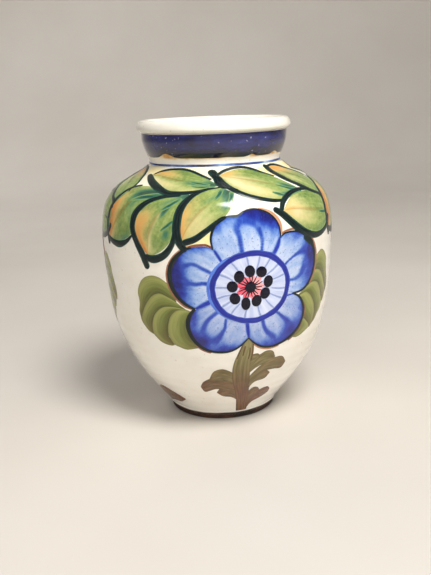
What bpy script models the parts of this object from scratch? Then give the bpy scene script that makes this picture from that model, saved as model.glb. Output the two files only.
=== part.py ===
"""Talavera pottery vase: a round-shouldered thrown body on a foot ring, with a short collar and a lip.

The vase is made as potters make it, in four thrown sections that are luted together before the
firing: foot_ring, body, collar and lip. Each section is a closed turned solid. They meet at flat
seats with a hairline of slip between them.

Metres, +Z up. The origin is the centre of the face that the vase stands on.
"""
import math

import bpy
from mathutils import Vector

# Driving dimensions
MM = 0.001
HEIGHT = 200 * MM
FOOT_HEIGHT = 2.6 * MM
FOOT_RADIUS = 36.5 * MM
FOOT_WIDTH = 8 * MM
FOOT_BEVEL = 0.7 * MM
BODY_TOP = 171.5 * MM
NECK_RADIUS = 44 * MM
BORE_RADIUS = 38 * MM
COLLAR_TOP = 191.8 * MM
COLLAR_TOP_RADIUS = 48.4 * MM
LIP_RADIUS = 51.4 * MM
LIP_WIDTH = 7.6 * MM
LIP_TUCK = 0.3 * MM
LIP_WIDEST = 0.33  # share of the lip's height
WALL = 6 * MM
BASE_WALL = 8.5 * MM
FLOOR_UNDERSIDE = 5.5 * MM
FLOOR_TOP = 13.5 * MM
SLIP_JOINT = 0.3 * MM

# The turned surface's fineness
STEPS_AROUND = 48
MERGE_DISTANCE = 0.01 * MM

# Outer outline of the body between its foot and its neck, (radius, height), from the foot up
BODY_OUTLINE = [
    Vector((radius, height)) * MM
    for radius, height in (
        (43, 12), (52.6, 24), (62.8, 40), (71, 60), (75.2, 80), (77, 100), (78, 120),
        (77.5, 136), (74.5, 148), (67.5, 157), (58.5, 163), (49.7, 167.5),
    )
]
# Outer outline of the collar between its seat and its top
COLLAR_OUTLINE = [
    Vector((radius, height)) * MM
    for radius, height in ((44.1, 174.4), (45.4, 178.4), (46.9, 182.4), (48, 186.8))
]


def smooth(stations, per_span):
    """Points along the centripetal Catmull-Rom curve through the stations, per_span to a span."""
    first = stations[0] * 2 - stations[1]
    last = stations[-1] * 2 - stations[-2]
    held = [first] + list(stations) + [last]
    knots = [0.0]
    for here, there in zip(held, held[1:]):
        knots.append(knots[-1] + math.sqrt((there - here).length))
    points = []
    for span in range(1, len(held) - 2):
        near, far = knots[span], knots[span + 1]
        for step in range(per_span):
            points.append(on_span(held, knots, span, near + (far - near) * step / per_span))
    points.append(stations[-1].copy())
    return points


def on_span(held, knots, span, at):
    """The curve's point at knot value `at`, in the span that starts at held[span]."""
    def blend(start, end, from_knot, to_knot):
        return start.lerp(end, (at - from_knot) / (to_knot - from_knot))

    before, start, end, after = held[span - 1:span + 3]
    k0, k1, k2, k3 = knots[span - 1:span + 3]
    left, middle, right = blend(before, start, k0, k1), blend(start, end, k1, k2), blend(end, after, k2, k3)
    return blend(blend(left, middle, k0, k2), blend(middle, right, k1, k3), k1, k2)


def arc(centre, radii, start, stop, spans):
    """Points of an elliptical arc from start to stop, in degrees from +X."""
    angles = [math.radians(start + (stop - start) * step / spans) for step in range(spans + 1)]
    return [Vector((centre[0] + radii[0] * math.cos(a), centre[1] + radii[1] * math.sin(a))) for a in angles]


def inside_of(outline):
    """The stations of a wall's inner face: each outer station moved square to the outline, into the clay."""
    moved = []
    for before, here, after in zip(outline, outline[1:], outline[2:]):
        along = (after - before).normalized()
        height_share = (here.y - FLOOR_TOP) / (BODY_TOP - FLOOR_TOP)
        thickness = WALL + (BASE_WALL - WALL) * max(0.0, 1 - 2 * height_share)
        moved.append(here + Vector((-along.y, along.x)) * thickness)
    return moved


def glaze(name, colour, roughness):
    """A Principled BSDF material."""
    material = bpy.data.materials.new(name)
    material.use_nodes = True
    shader = material.node_tree.nodes["Principled BSDF"]
    shader.inputs["Base Color"].default_value = (*colour, 1.0)
    shader.inputs["Roughness"].default_value = roughness
    shader.inputs["Metallic"].default_value = 0.0
    material.diffuse_color = (*colour, 1.0)
    return material


def turned(name, profile, closed, material):
    """A named solid turned about the Z axis from a (radius, height) profile.

    The profile runs up its inner side and down its outer side, so the faces point out. An open
    profile starts and ends on the axis.
    """
    mesh = bpy.data.meshes.new(name)
    edges = [(at, at + 1) for at in range(len(profile) - 1)]
    if closed:
        edges.append((len(profile) - 1, 0))
    mesh.from_pydata([(point.x, 0.0, point.y) for point in profile], edges, [])
    mesh.materials.append(material)
    piece = bpy.data.objects.new(name, mesh)
    bpy.context.scene.collection.objects.link(piece)
    screw = piece.modifiers.new("turn", "SCREW")
    screw.axis = "Z"
    screw.steps = STEPS_AROUND
    screw.render_steps = STEPS_AROUND
    screw.use_merge_vertices = True
    screw.merge_threshold = MERGE_DISTANCE
    screw.use_smooth_shade = True
    return piece


def make_foot_ring():
    """The ring that the vase stands on, bare clay with its lower edges taken off."""
    inner = FOOT_RADIUS - FOOT_WIDTH
    profile = [
        Vector((inner + FOOT_BEVEL, 0.0)),
        Vector((inner, FOOT_BEVEL)),
        Vector((inner, FOOT_HEIGHT)),
        Vector((FOOT_RADIUS, FOOT_HEIGHT)),
        Vector((FOOT_RADIUS, FOOT_BEVEL)),
        Vector((FOOT_RADIUS - FOOT_BEVEL, 0.0)),
    ]
    return turned("foot_ring", profile, True, glaze("bare_clay", (0.20, 0.09, 0.045), 0.8))


def make_body():
    """Floor, belly and shoulder in one thrown wall, open at the neck."""
    foot = Vector((FOOT_RADIUS, FOOT_HEIGHT + SLIP_JOINT))
    neck = Vector((NECK_RADIUS, BODY_TOP))
    outer = smooth([foot] + BODY_OUTLINE + [neck], 2)
    wall_stations = inside_of(BODY_OUTLINE + [neck])
    floor_edge = Vector((0.6 * wall_stations[0].x, FLOOR_TOP))
    inner = smooth([floor_edge] + wall_stations + [Vector((BORE_RADIUS, BODY_TOP))], 1)
    recess = Vector((FOOT_RADIUS - FOOT_WIDTH, foot.y))
    underside = [recess, Vector((recess.x - FOOT_BEVEL, FLOOR_UNDERSIDE)), Vector((0.0, FLOOR_UNDERSIDE))]
    profile = [Vector((0.0, FLOOR_TOP))] + inner + outer[::-1] + underside
    return turned("body", profile, False, glaze("tin_glaze", (0.86, 0.83, 0.76), 0.12))


def make_collar():
    """The short neck, flaring from the body's seat to the lip."""
    seat = BODY_TOP + SLIP_JOINT
    stations = [Vector((NECK_RADIUS, seat))] + COLLAR_OUTLINE + [Vector((COLLAR_TOP_RADIUS, COLLAR_TOP))]
    outer = smooth(stations, 2)
    inner = [Vector((BORE_RADIUS, seat)), Vector((LIP_RADIUS - LIP_WIDTH, COLLAR_TOP))]
    return turned("collar", inner + outer[::-1], True, glaze("cobalt_band", (0.02, 0.05, 0.30), 0.12))


def make_lip():
    """The thick rolled lip, standing a little proud of the collar."""
    seat = COLLAR_TOP + SLIP_JOINT
    half_width = LIP_WIDTH / 2
    widest = seat + LIP_WIDEST * (HEIGHT - seat)
    rise = HEIGHT - widest
    crown = arc((LIP_RADIUS - half_width, widest), (half_width, rise), 180, 0, 10)
    seat_radius = COLLAR_TOP_RADIUS - LIP_TUCK
    under = arc((seat_radius, widest), (LIP_RADIUS - seat_radius, widest - seat), 0, -90, 4)
    profile = [Vector((LIP_RADIUS - LIP_WIDTH, seat))] + crown + under[1:]
    return turned("lip", profile, True, glaze("lip_glaze", (0.90, 0.88, 0.82), 0.12))


def main():
    for old in list(bpy.data.objects):
        bpy.data.objects.remove(old, do_unlink=True)
    make_foot_ring()
    make_body()
    make_collar()
    make_lip()


main()
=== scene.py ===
"""Looks of the talavera vase: glazed clay, and hand painting as thin relief of coloured glaze on its wall.

A place on a wall is (turn, down). turn is in degrees round the axis, 0 at -Y and rising towards +X.
down is in millimetres along the wall's outline, from its top edge. Widths and lifts are in
millimetres too. MM turns a millimetre of the design into metres and comes from the frame's height.
"""
import math

import bpy
import numpy as np
from mathutils import Matrix, Vector


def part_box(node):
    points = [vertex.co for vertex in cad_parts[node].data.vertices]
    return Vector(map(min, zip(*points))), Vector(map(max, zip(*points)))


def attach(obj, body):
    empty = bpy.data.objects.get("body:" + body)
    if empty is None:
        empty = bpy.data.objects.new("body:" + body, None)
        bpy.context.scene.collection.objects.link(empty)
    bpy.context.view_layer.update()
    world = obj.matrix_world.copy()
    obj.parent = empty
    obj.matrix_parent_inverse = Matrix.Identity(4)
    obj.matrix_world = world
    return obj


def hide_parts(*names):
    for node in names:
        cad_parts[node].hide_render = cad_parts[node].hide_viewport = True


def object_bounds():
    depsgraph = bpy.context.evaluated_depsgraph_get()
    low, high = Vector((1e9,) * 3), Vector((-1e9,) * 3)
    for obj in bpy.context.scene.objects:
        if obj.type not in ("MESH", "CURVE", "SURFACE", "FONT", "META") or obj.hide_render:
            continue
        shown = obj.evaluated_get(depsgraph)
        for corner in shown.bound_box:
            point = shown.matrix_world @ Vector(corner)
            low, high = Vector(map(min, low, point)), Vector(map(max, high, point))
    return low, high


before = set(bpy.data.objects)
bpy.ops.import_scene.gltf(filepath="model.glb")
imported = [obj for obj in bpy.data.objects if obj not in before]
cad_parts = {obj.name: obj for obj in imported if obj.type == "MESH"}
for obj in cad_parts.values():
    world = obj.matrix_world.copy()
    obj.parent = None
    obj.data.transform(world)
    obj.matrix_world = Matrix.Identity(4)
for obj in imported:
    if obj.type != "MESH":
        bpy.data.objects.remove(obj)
cad_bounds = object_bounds()

DESIGN_HEIGHT = 200.0
MM = (cad_bounds[1][2] - cad_bounds[0][2]) / DESIGN_HEIGHT


def node_span(node):
    """A node's lowest and highest z and its greatest radius, in millimetres of the design."""
    low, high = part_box(node)
    return low.z / MM, high.z / MM, high.x / MM


FOOT_LOW, _, FOOT_RADIUS = node_span("foot_ring")
BODY_LOW, BODY_HIGH, _ = node_span("body")
_, COLLAR_HIGH, COLLAR_RADIUS = node_span("collar")
LIP_LOW, LIP_HIGH, LIP_RADIUS = node_span("lip")
NECK_RADIUS = 44.0
BORE_RADIUS = 38.0
LIP_WIDTH = 7.6
LIP_TUCK = 0.3
LIP_WIDEST = 0.33  # share of the lip's height
FOOT_WIDTH = 8.0
FLOOR_UNDERSIDE = 5.5
FLOOR_TOP = 13.5
WALL = 6.0
BASE_WALL = 8.5
# (radius, height) of the body between foot and neck, and of the collar between seat and top
BODY_OUTLINE = [
    (43, 12), (52.6, 24), (62.8, 40), (71, 60), (75.2, 80), (77, 100), (78, 120),
    (77.5, 136), (74.5, 148), (67.5, 157), (58.5, 163), (49.7, 167.5),
]
COLLAR_OUTLINE = [(44.1, 174.4), (45.4, 178.4), (46.9, 182.4), (48, 186.8)]
# Where the glaze stops, in millimetres up from the body's lower edge; the dark bare strip below it is also
# painted shade under the vase
BARE_AND_SHADE_TOP = 2.6
BEAD_LOW = 2.2
BEAD_TOP = 4.6
# The heights of the collar's painting, and where the band's lower edge runs out: (turn, depth, spread)
BAND_LOW = 177.0
GOLD_LOW = 175.6
GOLD_TOP = 181.0
THREAD_LOW = 171.7
THREAD_TOP = 173.1
BAND_NOTCHES = [(-42, 2.8, 7), (31, 1.4, 4), (57, 1.9, 5), (96, 1.6, 6), (141, 2.4, 8), (188, 1.3, 5),
                (236, 2.2, 6), (281, 1.5, 5)]

# Meshes: columns round the vase, how deep a relief's underside sits, a stroke's step, how far the throwing
# rings take to fade in from a wall's ends, and the bend that stays sharp
AROUND = 320
EMBED = 0.25
STROKE_STEP = 0.9
RING_FADE = 6
SHARP_BEND = math.radians(50)
# How flat a stroke's top is, how thin its ends may be, and how far the brush marks move from shell to shell
STROKE_TOP = 2.2
THINNEST = 0.03
SEED_STEP = 0.37
# Millimetres in a degree of turn: roughly, over the painting, and where the flower is
ROUGH_DEGREE = 1.3
FLOWER_DEGREE = 1.34


# ---------------------------------------------------------------- curves

def distances(steps):
    """How far each point is from the first, from the steps between them."""
    return np.concatenate([[0.0], np.cumsum(steps)])


def catmull(stations, per_span):
    """The centripetal Catmull-Rom curve through stations whose first two values are the place."""
    p = np.asarray(stations, float)
    p = np.vstack([2 * p[0] - p[1], p, 2 * p[-1] - p[-2]])
    gaps = np.linalg.norm(np.diff(p[:, :2], axis=0), axis=1)
    knots = distances(np.sqrt(np.maximum(gaps, 1e-6)))

    def blend(a, b, start, end, at):
        return a + (b - a) * (at - start) / (end - start)

    rows = []
    for i in range(1, len(p) - 2):
        k0, k1, k2, k3 = knots[i - 1:i + 3]
        at = np.linspace(k1, k2, per_span + 1)[:, None]
        if i < len(p) - 3:
            at = at[:-1]
        left = blend(p[i - 1], p[i], k0, k1, at)
        middle = blend(p[i], p[i + 1], k1, k2, at)
        right = blend(p[i + 1], p[i + 2], k2, k3, at)
        rows.append(blend(blend(left, middle, k0, k2, at), blend(middle, right, k1, k3, at), k1, k2, at))
    return np.vstack(rows)


def smoothstep(low, high, value):
    share = np.clip((value - low) / (high - low), 0.0, 1.0)
    return share * share * (3 - 2 * share)


def wander(turn, seed):
    """A smooth, repeating unevenness in -1..1 round the vase, as a hand leaves it."""
    a = np.radians(turn)
    terms = ((3, 0.9), (7, 0.8), (13, 0.6), (22, 0.45))
    total = sum(size * np.sin(k * a + seed * (1.7 + k)) for k, size in terms)
    return total / sum(size for _, size in terms)


# ---------------------------------------------------------------- walls

def throwing(turn, height):
    """The potter's fingers: shallow rings and a slight lack of round, in millimetres."""
    a = np.radians(turn)
    rings = 0.05 * np.sin(height * 0.92 + 0.8 * np.sin(a)) + 0.03 * np.sin(height * 0.41 + 1.7)
    lobes = 0.10 * np.sin(2 * a + 0.6 + height * 0.01) + 0.05 * np.sin(3 * a + 2.1 - height * 0.02)
    return rings + lobes


class Wall:
    """A turned outer surface, from its top edge down."""

    def __init__(self, outline):
        curve = catmull(outline, 24)[::-1]
        self.down = distances(np.linalg.norm(np.diff(curve, axis=0), axis=1))
        self.radius, self.height = curve[:, 0], curve[:, 1]
        along = np.gradient(curve, self.down, axis=0)
        self.out_r, self.out_z = -along[:, 1], along[:, 0]
        self.length = self.down[-1]

    def down_at(self, height):
        return float(np.interp(height, self.height[::-1], self.down[::-1]))

    def place(self, turn, down, lift):
        """Points in metres, lifted square to the wall."""
        turn, down = np.broadcast_arrays(np.asarray(turn, float), np.asarray(down, float))
        radius = np.interp(down, self.down, self.radius)
        height = np.interp(down, self.down, self.height)
        out_r = np.interp(down, self.down, self.out_r)
        out_z = np.interp(down, self.down, self.out_z)
        size = np.hypot(out_r, out_z)
        lift = lift + throwing(turn, height) * self.fade(down)
        radius = radius + out_r / size * lift
        height = height + out_z / size * lift
        a = np.radians(turn)
        return np.stack([radius * np.sin(a), -radius * np.cos(a), height], -1) * MM

    def fade(self, down):
        """How much the throwing rings show: 0 at the wall's ends and 1 away from them."""
        return smoothstep(0, RING_FADE, down) * smoothstep(0, RING_FADE, self.length - down)

    def rows(self, count):
        """The outline in even steps, with how much each row feels the throwing rings."""
        down = np.linspace(0, self.length, count)
        outline = (np.interp(down, self.down, self.radius), np.interp(down, self.down, self.height))
        return np.stack(outline, -1), self.fade(down)

    def degree(self, down):
        """Millimetres in a degree of turn."""
        return np.interp(down, self.down, self.radius) * math.pi / 180


body_wall = Wall([(FOOT_RADIUS, BODY_LOW)] + BODY_OUTLINE + [(NECK_RADIUS, BODY_HIGH)])
collar_wall = Wall([(NECK_RADIUS, BODY_HIGH)] + COLLAR_OUTLINE + [(COLLAR_RADIUS, COLLAR_HIGH)])


# ---------------------------------------------------------------- meshes

def add_piece(name, points, faces, face_slots, materials, values, replaced=()):
    """A shaded mesh object that rides on the vase, with the given materials."""
    mesh = bpy.data.meshes.new(name)
    mesh.from_pydata(np.asarray(points, float).tolist(), [], faces)
    for material in materials:
        mesh.materials.append(material)
    if face_slots is not None:
        mesh.polygons.foreach_set("material_index", face_slots)
    for key, column in values.items():
        attribute = mesh.attributes.new(key, "FLOAT", "POINT")
        attribute.data.foreach_set("value", np.asarray(column, np.float32))
    mesh.shade_smooth()
    mesh.set_sharp_from_angle(angle=SHARP_BEND)
    piece = bpy.data.objects.new(name, mesh)
    bpy.context.scene.collection.objects.link(piece)
    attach(piece, "root")
    if replaced:
        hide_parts(*replaced)


def grid_faces(index, wrap):
    """Quads over a grid of vertex numbers, and the grid's open edges as quads down to the underside."""
    size = index.size
    here = index if wrap else index[:-1]
    there = np.roll(index, -1, axis=0) if wrap else index[1:]
    top = np.stack([here[:, :-1], here[:, 1:], there[:, 1:], there[:, :-1]], -1).reshape(-1, 4)
    under = (top + size)[:, ::-1]
    near = np.stack([here[:, 0], there[:, 0], there[:, 0] + size, here[:, 0] + size], -1)
    far = np.stack([there[:, -1], here[:, -1], here[:, -1] + size, there[:, -1] + size], -1)
    sides = [near, far]
    if not wrap:
        start, end = index[0], index[-1]
        sides.append(np.stack([start[1:], start[:-1], start[:-1] + size, start[1:] + size], -1))
        sides.append(np.stack([end[:-1], end[1:], end[1:] + size, end[:-1] + size], -1))
    return np.vstack([top, under] + sides)


class Relief:
    """Closed thin shells on a wall, gathered into one piece with the values that its materials read.

    along and across run from 0 to 1 over each shell. rim is the distance in from its edge, in millimetres.
    warm, pale and deep are how much the painter warmed, thinned or deepened the colour; on the stem, warm is
    also painted warm bounce light low on the wall, and on the outlines, pale is a painted highlight.
    """

    KEYS = ("along", "across", "rim", "warm", "pale", "deep", "seed")

    def __init__(self, wall, shift=0.0, raise_by=0.0):
        self.wall, self.shift, self.raise_by = wall, shift, raise_by
        self.points, self.faces, self.slots, self.materials = [], [], [], []
        self.values = {key: [] for key in self.KEYS}
        self.count = 0

    def add(self, points, faces, material, values):
        if material not in self.materials:
            self.materials.append(material)
        self.points.append(points)
        self.faces += faces
        self.slots += [self.materials.index(material)] * len(faces)
        seed = SEED_STEP * len(self.points)
        for key in self.KEYS:
            column = values.get(key, seed if key == "seed" else 0.0)
            self.values[key].append(np.broadcast_to(column, len(points)))
        self.count += len(points)

    def grid(self, turn, down, lift, material, values, wrap=False):
        """A shell over a grid of places. wrap joins its last row to its first."""
        top = self.wall.place(turn + self.shift, down, lift + self.raise_by).reshape(-1, 3)
        low = self.wall.place(turn + self.shift, down, np.full(turn.shape, -EMBED)).reshape(-1, 3)
        index = np.arange(turn.size).reshape(turn.shape) + self.count
        faces = grid_faces(index, wrap)
        along = (np.diff(turn, axis=0)[:, :-1], np.diff(down, axis=0)[:, :-1])
        across = (np.diff(turn, axis=1)[:-1], np.diff(down, axis=1)[:-1])
        if (along[0] * across[1] - along[1] * across[0]).sum() < 0:
            faces = faces[:, ::-1]
        told = {key: np.tile(np.broadcast_to(v, turn.shape).ravel(), 2) for key, v in values.items()}
        self.add(np.vstack([top, low]), faces.tolist(), material, told)

    def finish(self, name, slot):
        values = {key: np.concatenate(self.values[key]) for key in self.KEYS}
        add_piece(name, np.vstack(self.points), self.faces, self.slots, self.materials, values)

    # ------------------------------------------------------------ kinds of shell

    def stroke(self, stations, material, lift, crown, columns=9, **told):
        """A brush stroke through (turn, down, width) stations, with rounded ends."""
        path = catmull(stations, 16)
        scale = self.wall.degree(path[:, 1])
        run = distances(np.hypot(np.diff(path[:, 0]) * (scale[1:] + scale[:-1]) / 2, np.diff(path[:, 1])))
        total = run[-1]
        first, last = (min(w / 2, total / 3) for w in (path[0, 2], path[-1, 2]))
        rounding = 1 - np.cos(np.linspace(0, math.pi / 2, 7))
        middle = np.linspace(first, total - last, max(6, int(total / STROKE_STEP)))
        s = np.concatenate([first * rounding[:-1], middle, total - last * rounding[::-1][1:]])
        turn, down, width = (np.interp(s, run, path[:, k]) for k in range(3))
        half = width / 2
        for end, gap in ((first, s), (last, total - s)):
            half = np.where(gap < end, half * np.sqrt(np.clip(1 - (1 - gap / end) ** 2, 0, 1)), half)
        half = np.maximum(half, THINNEST)
        scale = self.wall.degree(down)
        step_x, step_y = np.gradient(turn, s) * scale, np.gradient(down, s)
        size = np.maximum(np.hypot(step_x, step_y), 1e-6)
        v = np.sin(np.linspace(-1, 1, columns) * math.pi / 2)[None, :]
        turns = turn[:, None] - (step_y / size * half / scale)[:, None] * v
        downs = down[:, None] + (step_x / size * half)[:, None] * v
        up = lift + crown * np.clip(half / 1.5, 0.15, 1)[:, None] * (1 - np.abs(v) ** STROKE_TOP)
        self.grid(turns, downs, up, material, {
            "along": (s / total)[:, None], "across": (v + 1) / 2, "rim": half[:, None] * (1 - np.abs(v)),
            **told,
        })

    def loft(self, first, second, material, lift, crown, rows, columns, **told):
        """A filled shape between two edges that run the same way, each a list of (turn, down).

        A told value is a number, or a rule of how far along and across a vertex is and of its place.
        """
        edges = []
        for stations in (first, second):
            path = catmull(stations, 16)
            run = distances(np.hypot(np.diff(path[:, 0]) * ROUGH_DEGREE, np.diff(path[:, 1])))
            at = np.linspace(0, run[-1], rows)
            edges.append(np.stack([np.interp(at, run, path[:, k]) for k in range(2)], -1))
        along = np.repeat(np.linspace(0, 1, rows)[:, None], columns, 1)
        across = np.repeat(np.linspace(0, 1, columns)[None], rows, 0)
        places = edges[0][:, None] * (1 - across)[..., None] + edges[1][:, None] * across[..., None]
        apart = edges[1] - edges[0]
        span = np.hypot(apart[:, 0] * ROUGH_DEGREE, apart[:, 1])[:, None]
        values = {"along": along, "across": across, "rim": np.minimum(across, 1 - across) * span}
        for key, rule in told.items():
            values[key] = rule(along, across, places) if callable(rule) else rule
        up = lift + crown * (1 - (2 * across - 1) ** 2)
        self.grid(places[..., 0], places[..., 1], up, material, values)

    def dab(self, turn, down, size_x, size_y, material, lift, crown, around=32, rings=6, edge=None):
        """A round touch of the brush. edge scales its outline by angle."""
        a = np.linspace(0, 2 * math.pi, around, endpoint=False)[:, None]
        share = (np.arange(1, rings + 1) / rings)[None, :] ** 0.8
        reach = share * (edge(a) if edge else 1.0) + 0 * a
        turns = turn + size_x * np.cos(a) * reach / self.wall.degree(down)
        downs = down + size_y * np.sin(a) * reach
        small = min(size_x, size_y)
        up = lift + crown * (1 - share ** 2) + self.raise_by + 0 * a
        top = self.wall.place(turns + self.shift, downs, up)
        low = self.wall.place(turns + self.shift, downs, np.full(turns.shape, -EMBED))
        heights = (lift + crown + self.raise_by, -EMBED)
        hubs = [self.wall.place(turn + self.shift, down, height) for height in heights]
        index = np.arange(turns.size).reshape(turns.shape) + self.count
        next_row = np.roll(index, -1, axis=0)
        drop = turns.size + 1
        quads = np.stack([index[:, :-1], next_row[:, :-1], next_row[:, 1:], index[:, 1:]], -1).reshape(-1, 4)
        fan = np.stack([np.full(around, self.count + turns.size), next_row[:, 0], index[:, 0]], -1)
        side = np.stack([index[:, -1], next_row[:, -1], next_row[:, -1] + drop, index[:, -1] + drop], -1)
        faces = quads.tolist() + fan.tolist() + side.tolist()
        faces += (quads + drop)[:, ::-1].tolist() + (fan + drop)[:, ::-1].tolist()
        points = np.vstack([top.reshape(-1, 3), hubs[0][None], low.reshape(-1, 3), hubs[1][None]])
        columns = {
            "along": np.append(np.repeat(a / (2 * math.pi), rings, 1).ravel(), 0.5),
            "across": np.append((share + 0 * a).ravel(), 0.0),
            "rim": np.append(((1 - share) * small + 0 * a).ravel(), small),
        }
        self.add(points, faces, material, {key: np.tile(v, 2) for key, v in columns.items()})

    def hoop(self, turn, down, size_x, size_y, width, material, lift, crown, around=128, columns=9, seed=1.0):
        """A closed ring of paint round a centre, a little uneven in width."""
        a = np.linspace(0, 2 * math.pi, around, endpoint=False)[:, None]
        v = np.sin(np.linspace(1, -1, columns) * math.pi / 2)[None, :]
        half = width / 2 * (1 + 0.13 * wander(np.degrees(a), seed))
        off = 0.35 * wander(np.degrees(a), seed + 3)
        turns = turn + (size_x + off + half * v) * np.cos(a) / self.wall.degree(down)
        downs = down + (size_y + off + half * v) * np.sin(a)
        up = lift + crown * (1 - np.abs(v) ** STROKE_TOP) + 0 * a
        self.grid(turns, downs, up, material, {
            "along": a / (2 * math.pi), "across": (v + 1) / 2, "rim": half * (1 - np.abs(v)),
        }, wrap=True)

    def girdle(self, top, bottom, material, lift, crown, around=360, columns=9):
        """A band right round the wall between two rules that give down for a turn."""
        turn = np.linspace(0, 360, around, endpoint=False)[:, None]
        v = (1 - np.cos(np.linspace(0, math.pi, columns)))[None, :] / 2
        high, low = top(turn), bottom(turn)
        downs = high + (low - high) * v
        up = lift + crown * (1 - np.abs(2 * v - 1) ** 2.5) + 0 * turn
        self.grid(turn + 0 * v, downs, up, material, {
            "along": turn / 360, "across": v, "rim": np.minimum(v, 1 - v) * (low - high),
        }, wrap=True)


# ---------------------------------------------------------------- materials

GLAZE_IOR = 1.52
COAT_ROUGHNESS = 0.06


def linear(colour):
    """A screen colour as the shader's linear values."""
    shares = (v / 255 for v in colour)
    return tuple(v / 12.92 if v <= 0.04045 else ((v + 0.055) / 1.055) ** 2.4 for v in shares)


class Paint:
    """A glazed material: a Principled shader, with shorthand for the nodes that feed it.

    Every colour is a screen colour, red, green and blue from 0 to 255.
    """

    def __init__(self, name, roughness=0.16, coat=0.0, gloss=0.5):
        self.material = bpy.data.materials.new(name)
        self.material.use_nodes = True
        self.tree = self.material.node_tree
        self.shader = self.tree.nodes["Principled BSDF"]
        self.shader.inputs["Roughness"].default_value = roughness
        self.shader.inputs["IOR"].default_value = GLAZE_IOR
        self.shader.inputs["Specular IOR Level"].default_value = gloss
        self.shader.inputs["Coat Weight"].default_value = coat
        self.shader.inputs["Coat Roughness"].default_value = COAT_ROUGHNESS

    def node(self, kind, **inputs):
        node = self.tree.nodes.new(kind)
        for key, value in inputs.items():
            self.feed(node.inputs[key], value)
        return node

    def feed(self, socket, value):
        if isinstance(value, bpy.types.NodeSocket):
            self.tree.links.new(value, socket)
        elif socket.type == "RGBA":
            socket.default_value = (*linear(value), 1.0)
        else:
            socket.default_value = value

    def told(self, key):
        """One of the mesh's painted values."""
        node = self.tree.nodes.new("ShaderNodeAttribute")
        node.attribute_name = key
        return node.outputs["Fac"]

    def sum(self, kind, a, b=0.0, c=0.0, clamp=False):
        node = self.tree.nodes.new("ShaderNodeMath")
        node.operation = kind
        node.use_clamp = clamp
        for socket, value in zip(node.inputs, (a, b, c)):
            self.feed(socket, value)
        return node.outputs[0]

    def plus(self, a, b, clamp=False):
        return self.sum("ADD", a, b, clamp=clamp)

    def times(self, a, b):
        return self.sum("MULTIPLY", a, b)

    def scaled(self, key, count):
        return self.times(self.told(key), count)

    def uneven(self, marks, size):
        """Marks from 0 to 1 as a change of up to half of size either way."""
        return self.sum("MULTIPLY_ADD", marks, size, -size / 2)

    def off_middle(self, key, middle=0.5):
        """How far one of the mesh's painted values is from its middle."""
        return self.sum("ABSOLUTE", self.sum("SUBTRACT", self.told(key), middle))

    def at_rim(self, reach):
        """1 at a shell's edge and 0 from reach in from it."""
        return self.sum("SUBTRACT", 1.0, self.step(0.0, reach, self.told("rim")))

    def step(self, low, high, value):
        """0 below low and 1 above high, smooth between."""
        node = self.tree.nodes.new("ShaderNodeMapRange")
        node.interpolation_type = "SMOOTHSTEP"
        for key, v in (("Value", value), ("From Min", low), ("From Max", high)):
            self.feed(node.inputs[key], v)
        return node.outputs["Result"]

    def where(self, x, y, z=0.0):
        return self.node("ShaderNodeCombineXYZ", X=x, Y=y, Z=z).outputs[0]

    def noise(self, vector, scale, detail=3.0, roughness=0.55, distortion=0.0):
        node = self.node("ShaderNodeTexNoise", Vector=vector, Scale=scale, Detail=detail, Roughness=roughness,
                         Distortion=distortion)
        return node.outputs["Fac"]

    def streaks(self, across, along, detail=3.0):
        """Brush marks: fine from side to side and long down the stroke. Both counts are marks to a shell."""
        seed = self.scaled("seed", 7.0)
        place = self.where(self.scaled("across", across), self.scaled("along", along), seed)
        return self.noise(place, 1.0, detail)

    def mix(self, share, a, b, most=None):
        """a, turning to b as share rises to 1, or only as far as most."""
        node = self.tree.nodes.new("ShaderNodeMix")
        node.data_type = "RGBA"
        node.clamp_factor = True
        self.feed(node.inputs["Factor"], share if most is None else self.times(share, most))
        self.feed(node.inputs[6], a)
        self.feed(node.inputs[7], b)
        return node.outputs[2]

    def ramp(self, share, *stops):
        """Colours for a share, from stops of (share, red, green, blue)."""
        node = self.node("ShaderNodeValToRGB", Fac=share)
        elements = node.color_ramp.elements
        while len(elements) < len(stops):
            elements.new(0.5)
        for element, (at, *colour) in zip(elements, stops):
            element.position = at
            element.color = (*linear(colour), 1.0)
        return node.outputs["Color"]

    def local(self):
        return self.tree.nodes.new("ShaderNodeTexCoord").outputs["Object"]

    def bump(self, height, distance, strength):
        node = self.node("ShaderNodeBump", Height=height)
        node.inputs["Distance"].default_value = distance
        node.inputs["Strength"].default_value = strength
        self.tree.links.new(node.outputs["Normal"], self.shader.inputs["Normal"])

    def done(self, colour, roughness=None):
        self.feed(self.shader.inputs["Base Color"], colour)
        if roughness is not None:
            self.feed(self.shader.inputs["Roughness"], roughness)
        return self.material


def tin_glaze():
    """Warm white tin glaze: thicker and thinner clouds, a yellow wash near the neck, and a few specks."""
    paint = Paint("tin_glaze", coat=0.5)
    place = paint.local()
    clouds = paint.noise(place, 22, 4, 0.6, 0.4)
    base = paint.ramp(clouds, (0.3, 235, 228, 214), (0.5, 243, 238, 227), (0.72, 248, 244, 235))
    height = paint.node("ShaderNodeSeparateXYZ", Vector=place).outputs["Z"]
    neck = BODY_HIGH * MM
    wash = paint.step(0.35, 0.65, paint.noise(place, 35, 2))
    wash = paint.times(paint.step(neck - 0.022, neck - 0.002, height), wash)
    below = paint.sum("SUBTRACT", 1.0, paint.step(neck, neck + 0.001, height))
    base = paint.mix(paint.times(wash, below), base, (247, 236, 178), 0.55)
    specks = paint.step(0.735, 0.775, paint.noise(place, 620, 1, 0.4))
    base = paint.mix(specks, base, (150, 128, 100), 0.35)
    dimples = paint.plus(paint.noise(place, 230, 2), paint.times(clouds, 2.0))
    paint.bump(dimples, 0.00008, 0.5)
    return paint.done(base, paint.sum("MULTIPLY_ADD", paint.noise(place, 60, 2), 0.12, 0.07))


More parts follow.
